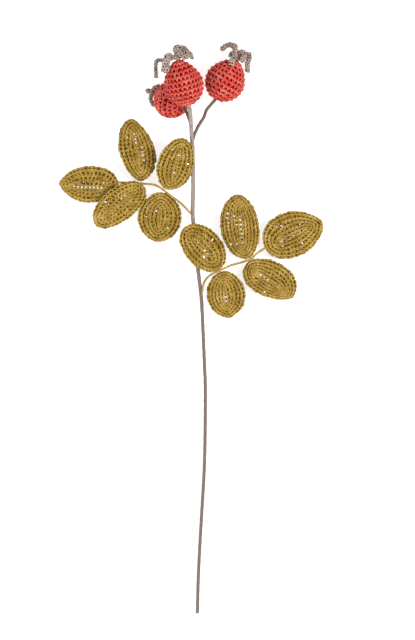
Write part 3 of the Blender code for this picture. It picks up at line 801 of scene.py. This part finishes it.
class SprigColours(bpy.types.PropertyGroup):
    """Yarn and tape colours."""

    # Each yarn's light colour is a painted highlight on the strands' tops and ply crests, and its deep colour
    # is painted shade on their undersides and in the ply grooves. The random dye moves the tone between them.
    # The deep colour also colours the dark layer seen through the gaps, as painted shade.
    coral: colour_of("Coral", "Yarn of the hips", "#C83F32")
    coral_painted_highlight: colour_of("Light coral", "Highest parts of the hips' yarn", "#E6938A")
    coral_painted_shade: colour_of("Deep coral", "Gaps between the hips' stitches", "#7A0301")
    gold: colour_of("Gold", "Yarn of the leaves and their stalks", "#967829")
    gold_painted_highlight: colour_of("Light gold", "Highest parts of the leaves' yarn", "#CFB570")
    gold_painted_shade: colour_of("Deep gold", "Gaps between the leaves' stitches", "#4E3504")
    taupe: colour_of("Taupe", "Yarn of the calyxes", "#9E887F")
    taupe_painted_highlight: colour_of("Light taupe", "Highest parts of the calyxes' yarn", "#DACABF")
    taupe_painted_shade: colour_of("Deep taupe", "Gaps between the calyxes' stitches", "#36241E")
    tape_upper: colour_of("Upper tape", "Stem tape near the hips", "#91827C")
    tape_lower: colour_of("Lower tape", "Stem tape near the cut end", "#655149")
    tape_shadow: colour_of("Shaded tape", "Mottling of the stem tape", "#523E38")


# ---------------------------------------------------------------- operators


class ROSEHIP_OT_hips(bpy.types.Operator):
    """Crochet the three hips: rounds of stitches over a closed inner layer of painted shade"""

    bl_idname = "rosehip.hips"
    bl_label = "Crochet the hips"

    def execute(self, context):
        sizes, colours = context.scene.rosehip_sizes, context.scene.rosehip_colours
        width, height, radius = sizes.hip_stitch / MM, sizes.hip_round / MM, sizes.hip_yarn / MM
        outer = cotton("coral_cotton", colours.coral, colours.coral_painted_highlight, colours.coral_painted_shade, 2.6)
        # The dark red inside is painted shade for the gaps between the hips' stitches.
        inner = painted_shade_cotton("coral_cotton_painted_shade", linear("#920803"), colours.coral_painted_shade)
        for side, (centre, axis, reach, stem_length, calyx_length) in HIPS.items():
            polar = np.linspace(np.pi, 0, 400)
            rise = np.cos(polar)
            out = reach * np.sin(polar) * (1 - HIP_TAPER * np.maximum(0, rise) ** 1.5)
            form, length = turned_form(out, np.where(rise > 0, calyx_length, stem_length) * rise)
            covered = length - BARE_ENDS * height
            rounds = int(covered / height)
            spacing = covered / rounds
            middles = FIRST_ROUND * height + spacing * (np.arange(rounds) + ROUND_MIDDLE)
            girth = TURN * form(0.0, middles)[..., 0]
            counts = INCREASES * np.maximum(1, np.round(girth / width / INCREASES)).astype(int)
            plan = [(count, middle, spacing, 0.1 * number) for number, (count, middle)
                    in enumerate(zip(counts, middles))]
            items = [worked(form, plan, radius, shape) for shape in (ARCH, TONGUE)]
            lift, thickness, ripple, sway = RIDGES[side]
            ridges = round_ridges(form, plan, lift, thickness * radius, ripple, sway)
            items += [(*made, 0) for made in ridges]
            # The closed layer under the stitches takes the second finish: a dark sheet of painted shade seen
            # through the gaps.
            items.append((*closed_ring_form(form, (0.8, length - 0.8), 22, 32, -2.1), 1))
            items = placed(items, axes_about(axis), np.array(centre))
            made = piece("hip_crochet_" + side, items, (outer, inner), floor=LOWEST)
            stands_for(made, "hip_" + side)
        return {"FINISHED"}


class ROSEHIP_OT_calyxes(bpy.types.Operator):
    """Crochet the calyxes: a small cap of rounds and curled arms worked in fine stitches"""

    bl_idname = "rosehip.calyxes"
    bl_label = "Crochet the calyxes"

    def execute(self, context):
        sizes, colours = context.scene.rosehip_sizes, context.scene.rosehip_colours
        stitch, radius = sizes.calyx_stitch / MM, sizes.calyx_yarn / MM
        outer = cotton("taupe_cotton", colours.taupe, colours.taupe_painted_highlight, colours.taupe_painted_shade, 1.7)
        # The dark taupe inside is painted shade for the gaps between the calyxes' stitches.
        inner = painted_shade_cotton("taupe_cotton_painted_shade", linear("#3E2C26"), colours.taupe_painted_shade)
        shape = ARCH * (1.0, 1.0, 0.6, 1.0) + (0.0, 0.0, -0.10, 0.0)
        for side, (centre, axis, _, _, calyx_length) in HIPS.items():
            cap_radius, cap_half = CALYX_CAPS[side]
            axes = axes_about(axis)
            middle = np.array(centre) + axes[:, 2] * (calyx_length + 0.75 + cap_half)
            polar = np.linspace(np.pi, 0, 200)
            form, length = turned_form(cap_radius * np.sin(polar), cap_half * np.cos(polar))
            middles = np.arange(1.4, length - 0.8, stitch)
            counts = np.maximum(5, np.round(TURN * form(0.0, middles)[..., 0] / stitch)).astype(int)
            plan = [(count, place, stitch, 0.4 * row) for row, (count, place)
                    in enumerate(zip(counts, middles))]
            cap = [worked(form, plan, radius, shape),
                   # A closed dark sheet of painted shade under the cap's stitches.
                   (*closed_ring_form(form, (0.3, length - 0.3), 10, 16, -0.45), 1)]
            items = placed(cap, axes, middle)
            root = middle + axes[:, 2] * cap_half
            for wide, thick, route in ARMS[side]:
                items += self.arm([root, *np.array(route)], wide / 2, thick / 2, stitch, radius, shape)
            made = piece("calyx_crochet_" + side, items, (outer, inner), floor=LOWEST)
            stands_for(made, "calyx_" + side)
        return {"FINISHED"}

    @staticmethod
    def arm(points, half_width, half_thick, stitch, radius, shape):
        """One arm: rounds of stitches along a tube that lies level where it is flat, with a rounded tip."""
        line = smooth_line(points, 0.5)
        length = run_of(line)
        tip = np.clip((length[-1] - length) / (1.1 * half_width), 0, 1)
        narrow = np.sqrt(np.maximum(1 - (1 - tip) ** 2, 0.02))
        flat = half_width > half_thick
        radius *= FLAT_ARM_YARN if flat else 1.0
        spread = line - line.mean(axis=0)
        ref = UP if flat else np.linalg.svd(spread)[2][2]
        waist = np.clip(0.45 + 0.06 * length, 0, 1) if flat else 1.0
        form, total = tube_form(line, half_width * narrow * waist, half_thick * narrow, ref)
        girth = np.pi * (half_width + half_thick)
        count = max(5, int(round(girth / stitch)))
        middles = np.arange(0.5 * stitch, total - 0.45 * half_width, stitch)
        plan = [(count, place, stitch, 0.4 * row) for row, place in enumerate(middles)]
        return [worked(form, plan, radius, shape, 0.10),
                worked(form, plan[:-1], radius, KNOB, 0.10),
                # A closed dark sheet of painted shade under the arm's stitches.
                (*closed_ring_form(form, (0.1, total - 0.05), 24, 12, -0.75), 1)]


class ROSEHIP_OT_leaflets(bpy.types.Operator):
    """Crochet the ten leaflets: rows of stitches round a foundation chain, with eyelets and a corded edge"""

    bl_idname = "rosehip.leaflets"
    bl_label = "Crochet the leaflets"

    def execute(self, context):
        sizes, colours = context.scene.rosehip_sizes, context.scene.rosehip_colours
        outer = cotton("gold_cotton", colours.gold, colours.gold_painted_highlight, colours.gold_painted_shade, 2.2)
        # The dark gold inside is painted shade for the gaps between the leaflets' stitches.
        inner = painted_shade_cotton("gold_cotton_painted_shade", linear("#553A06"), colours.gold_painted_shade)
        for name, shape in LEAFLETS.items():
            items = self.fabric(shape, sizes, name in POSTED)
            base, tip, roll = np.array(shape.base), np.array(shape.tip), np.radians(shape.roll)
            forward = unit(tip - base)
            left = unit(np.cross(UP, forward))
            left = left * np.cos(roll) - np.cross(forward, left) * np.sin(roll)
            axes = np.stack((forward, left, np.cross(forward, left)), axis=1)
            made = piece("leaflet_crochet_" + name, placed(items, axes, base), (outer, inner))
            stands_for(made, "leaflet_" + name)
        return {"FINISHED"}

    @staticmethod
    def fabric(shape, sizes, posted):
        """Every strand of one leaflet: two faces of stitches, their ridges, and the layer between them."""
        stitch, row_height, radius = sizes.leaf_stitch / MM, sizes.leaf_row / MM, sizes.leaf_yarn / MM
        form, half_length = leaf_form(shape)
        full_length = 2 * half_length
        half_width = (shape.left + shape.right) / 2
        start = (1.0 if posted else 1.3) / half_width
        rows = max(3, int(round((half_width - 1.0 - EDGE_HEIGHT) / row_height)))
        step = (1 - EDGE_HEIGHT / half_width - start) / rows
        middles = np.append(start + step * (np.arange(rows) + 0.5), 1 - 0.46 * EDGE_HEIGHT / half_width)
        heights = np.append(np.full(rows, step), EDGE_HEIGHT / half_width)
        ways = np.linspace(0, 1, 241)
        girths = np.array([run_of(form(ways, place))[-1] for place in middles])
        counts = np.maximum(10, np.round(girths / stitch)).astype(int)
        plan = [(count, place, height, 0.3 * row) for row, (count, place, height)
                in enumerate(zip(counts, middles, heights))]
        eyelets = settled_eyelets(form, shape.eyelets, shape.aside, full_length)
        post_sunk, chain_share, chain_lift, link_height = POST_STYLE if posted else CHAIN_STYLE
        chains = [(count, middle - 0.5 * height, height, shift + 0.5)
                  for count, middle, height, shift in plan]
        count, middle, height, shift = chains[-1]
        edge_chain = (count, middle, 0.6 * height, shift)
        clear = EYELET_RADIUS + radius
        items = []
        for face in (-1.0, 1.0):
            made = []
            for part, lean, arch in ((plan[:-1:2], 0.3, LEAF_ARCH), (plan[1:-1:2], -0.3, LEAF_ARCH),
                                     (plan[-1:], 0.0, EDGE_ARCH)):
                arch = arch + arch[:, 1:2] * (lean, 0, 0, 0)
                if lean:
                    arch[:, 2] -= post_sunk
                made.append(stitch_arches(form, part, radius, arch, face, 0.085))
            made.append(braid(form, chains[:-1], chain_share * radius, chain_lift, face))
            made.append(braid(form, [edge_chain], 1.3 * radius, 1.3, face))
            for strand in made:
                paths, radii, outward = beside_eyelets(strand, eyelets, clear)
                items.append((*strands(paths, radii, outward * face), 0))
            links = foundation_chain(form, shape.aside, full_length, eyelets, radius, face * link_height)
            items.append((*links, 0))
        # The layer between the faces takes the second finish, painted shade seen through the gaps.
        items.append((*ROSEHIP_OT_leaflets.middle_layer(form, eyelets), 1))
        return items

    @staticmethod
    def middle_layer(form, eyelets):
        """The layer between the two faces: a thin closed plate with the eyelets cut through it, coloured dark
        as painted shade.

        The plate is a grid of ways round and shares, on two levels. Cells within an eyelet are left out,
        and a wall joins the two levels along every edge that only one cell of the upper level has.
        """
        columns, shares = 84, np.array((0.0, 0.07, 0.16, 0.26, 0.37, 0.48, 0.60, 0.72, 0.84, 0.96))
        share, around = grid(shares, columns)
        level = form(around, share).reshape(-1, 3)
        quads, _ = sheet_faces(len(shares), columns)
        cells = level[quads].mean(axis=1)
        gap = np.linalg.norm(cells[:, None, :2] - eyelets, axis=-1)
        whole = gap.min(axis=1) > EYELET_RADIUS
        whole[gap.argmin(axis=0)] = False
        quads = quads[whole]
        level = pushed_aside(level, eyelets, EYELET_RADIUS)
        _, first, merged = np.unique(np.round(level, 3), axis=0, return_index=True, return_inverse=True)
        level = level[first]
        quads = merged.reshape(-1)[quads][:, ::-1]
        size = len(level)
        edges = np.stack((quads, np.roll(quads, -1, axis=1)), axis=-1).reshape(-1, 2)
        edges = edges[edges[:, 0] != edges[:, 1]]
        code, back = edges[:, 0] * size + edges[:, 1], edges[:, 1] * size + edges[:, 0]
        rim = edges[~np.isin(code, back)]
        thick = LAYER_HALF * UP
        points = np.concatenate((level + thick, level - thick))
        walls = np.stack((rim[:, 1], rim[:, 0], rim[:, 0] + size, rim[:, 1] + size), axis=1)
        faces = np.concatenate((quads, quads[:, ::-1] + size, walls))
        return points, [(faces, points[faces][..., :2] / 10)]


class ROSEHIP_OT_stalks(bpy.types.Operator):
    """Wind the two leaf stalks: yarn turned closely round a thin wire"""

    bl_idname = "rosehip.stalks"
    bl_label = "Wind the leaf stalks"

    def execute(self, context):
        turn = context.scene.rosehip_sizes.stalk_turn / MM
        outer = bpy.data.materials["gold_cotton"]
        for side, route in STALKS.items():
            line = smooth_line(route, 0.4)
            even = np.full(len(line), STALK_RADIUS - STALK_RELIEF / 2)
            form, length = tube_form(line, even, even, UP)
            along, around = grid(np.linspace(0, length, int(length / STALK_STEP)), STALK_SIDES)
            lift = STALK_RELIEF * np.abs(np.sin(np.pi * (along / turn + around))) ** 0.8
            points, _ = laid(form, around, along, lift)
            faces = tube_faces(1, len(along), STALK_SIDES, along[None, :, 0])
            made = piece("stalk_yarn_" + side, [(points.reshape(-1, 3), faces, 0)], (outer,))
            stands_for(made, "leaf_stalk_" + side)
        return {"FINISHED"}


class ROSEHIP_OT_stem(bpy.types.Operator):
    """Wrap the stem: tape wound in a slant over the wires, joined at the forks"""

    bl_idname = "rosehip.stem"
    bl_label = "Wrap the stem"

    def execute(self, context):
        colours = context.scene.rosehip_colours
        lap = context.scene.rosehip_sizes.tape_lap / MM
        tape = floral_tape("floral_tape", colours.tape_upper, colours.tape_lower, colours.tape_shadow)
        thin = floral_tape("floral_tape_thin", colours.tape_lower, colours.tape_lower, colours.tape_shadow)
        ends = {}
        for side, (centre, axis, _, stem_length, _) in HIPS.items():
            way = unit(np.array(axis))
            surface = np.array(centre) - way * (stem_length - TAPE_IN_HIP)
            ends[side] = [surface - way * TAPE_TURN, surface]
        tip = [(*place, STEM_ROUTE[-1][3]) for place in ends["centre"]]
        items = [(*self.wrapped(smooth_line([*STEM_ROUTE, *tip], 1.0), lap, 18, True), 0)]
        for side, route in BRANCHES.items():
            line = smooth_line([(*place, BRANCH_RADIUS) for place in (*route, *ends[side])], 0.8)
            items.append((*self.wrapped(line, 0.8 * lap, 14, False), 1))
        made = piece("stem_tape", items, (tape, thin), floor=LOWEST)
        stands_for(made, "stem_wrap")
        return {"FINISHED"}

    @staticmethod
    def wrapped(line, lap, sides, cut):
        """A tube of tape whose edge steps down once a turn along a slanting line, with fine creases.

        The tape steps down by its own lift between one lap edge and the next. A cut end has a hollow
        that shows the wire.
        """
        form, length = tube_form(line, line[:, 3], line[:, 3], UP)
        along, around = grid(np.linspace(0, length, int(length / TAPE_STEP)), sides)
        share = (along / lap + around + 0.13 * np.sin(along / 17.0)) % 1.0
        crease = np.sin(along * 2.9 + 7 * np.sin(around * TURN + along / 9))
        crease = crease * np.sin(around * TURN * 3 + along)
        lift = TAPE_LIFT * (1 - share) ** 1.5 - 0.07 + CREASE_LIFT * crease
        points, _ = laid(form, around, along, lift)
        if cut:
            centre, ring = line[0, :3], points[0] - line[0, :3]
            inward = unit(line[1, :3] - line[0, :3])
            hollow = centre + ring * HOLLOW_SHARE
            points = np.concatenate((hollow[None] + inward * HOLLOW_DEPTH, hollow[None], points))
            along = np.vstack((along[:1], along[:1], along))
        return points.reshape(-1, 3), tube_faces(1, len(points), sides, along[None, :, 0])


class ROSEHIP_OT_inside(bpy.types.Operator):
    """Finish the CAD solids that stay: the stuffing and the wires"""

    bl_idname = "rosehip.inside"
    bl_label = "Finish the stuffing and the wires"

    def execute(self, context):
        stuffing, steel = polyester_fill("polyester_fill_white"), drawn_steel("drawn_steel")
        for name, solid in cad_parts.items():
            finish = stuffing if name.startswith("stuffing") else steel if "wire" in name else None
            if finish:
                for place in solid.material_slots:
                    place.material = finish
        return {"FINISHED"}


class ROSEHIP_OT_stage(bpy.types.Operator):
    """Set up the pale floor, the soft lights and the camera that looks straight down"""

    bl_idname = "rosehip.stage"
    bl_label = "Set up the stage"

    def execute(self, context):
        scene = context.scene
        half = 12.0
        mesh = bpy.data.meshes.new("studio_floor")
        mesh.from_pydata([(-half, -half, -0.0002), (half, -half, -0.0002), (half, half, -0.0002),
                          (-half, half, -0.0002)], [], [(0, 1, 2, 3)])
        floor = bpy.data.objects.new("studio_floor", mesh)
        made, tree, shader = blank("pale_paper", roughness=0.9, emission_color=(1.0, 1.0, 1.0, 1.0),
                                   emission_strength=0.75)
        place = add(tree, "TexCoord").outputs["Object"]
        grain = add(tree, "TexNoise", {"Vector": place, "Scale": 300.0, "Detail": 2.0}).outputs["Fac"]
        paper = mixed(tree, grain, (0.46, 0.46, 0.46), (0.50, 0.50, 0.50))
        tree.links.new(paper, shader.inputs["Base Color"])
        mesh.materials.append(made)
        scene.collection.objects.link(floor)

        world = bpy.data.worlds.new("studio")
        world.use_nodes = True
        world.node_tree.nodes["Background"].inputs[0].default_value = (1.0, 1.0, 1.0, 1.0)
        world.node_tree.nodes["Background"].inputs[1].default_value = 0.58
        scene.world = world
        for name, place, size, power in (
            ("key_softbox", (1.7, 0.1, 3.0), 0.9, 112.0),
            ("fill_softbox", (-1.2, -0.7, 1.3), 1.2, 24.0),
        ):
            light = bpy.data.lights.new(name, "AREA")
            light.shape = "DISK"
            light.size = size
            light.energy = power
            holder = bpy.data.objects.new(name, light)
            holder.location = place
            holder.rotation_euler = (-Vector(place)).to_track_quat("-Z", "Y").to_euler()
            scene.collection.objects.link(holder)

        camera = bpy.data.cameras.new("camera")
        camera.sensor_width = 36.0
        camera.lens = 1029.7
        camera.clip_end = 40.0
        holder = bpy.data.objects.new("camera", camera)
        holder.location = (0.0141, 0.0071, 16.0)
        scene.collection.objects.link(holder)
        scene.camera = holder
        scene.view_settings.view_transform = "Standard"
        return {"FINISHED"}


class ROSEHIP_PT_sprig(bpy.types.Panel):
    """Sizes, colours and steps of the rose hip sprig"""

    bl_idname = "ROSEHIP_PT_sprig"
    bl_label = "Rose hip sprig"
    bl_space_type = "VIEW_3D"
    bl_region_type = "UI"
    bl_category = "Rose Hip"

    def draw(self, context):
        for group in (context.scene.rosehip_sizes, context.scene.rosehip_colours):
            for name in group.__annotations__:
                self.layout.prop(group, name)
        for step in STEPS:
            self.layout.operator(step.bl_idname)


STEPS = (ROSEHIP_OT_hips, ROSEHIP_OT_calyxes, ROSEHIP_OT_leaflets, ROSEHIP_OT_stalks, ROSEHIP_OT_stem,
         ROSEHIP_OT_inside, ROSEHIP_OT_stage)
CLASSES = (SprigSizes, SprigColours, *STEPS, ROSEHIP_PT_sprig)


def register():
    for entry in CLASSES:
        bpy.utils.register_class(entry)
    bpy.types.Scene.rosehip_sizes = bpy.props.PointerProperty(type=SprigSizes)
    bpy.types.Scene.rosehip_colours = bpy.props.PointerProperty(type=SprigColours)


def unregister():
    del bpy.types.Scene.rosehip_colours
    del bpy.types.Scene.rosehip_sizes
    for entry in reversed(CLASSES):
        bpy.utils.unregister_class(entry)


def main():
    register()
    bpy.ops.rosehip.hips()
    bpy.ops.rosehip.calyxes()
    bpy.ops.rosehip.leaflets()
    bpy.ops.rosehip.stalks()
    bpy.ops.rosehip.stem()
    bpy.ops.rosehip.inside()
    bpy.ops.rosehip.stage()


if __name__ == "__main__":
    main()
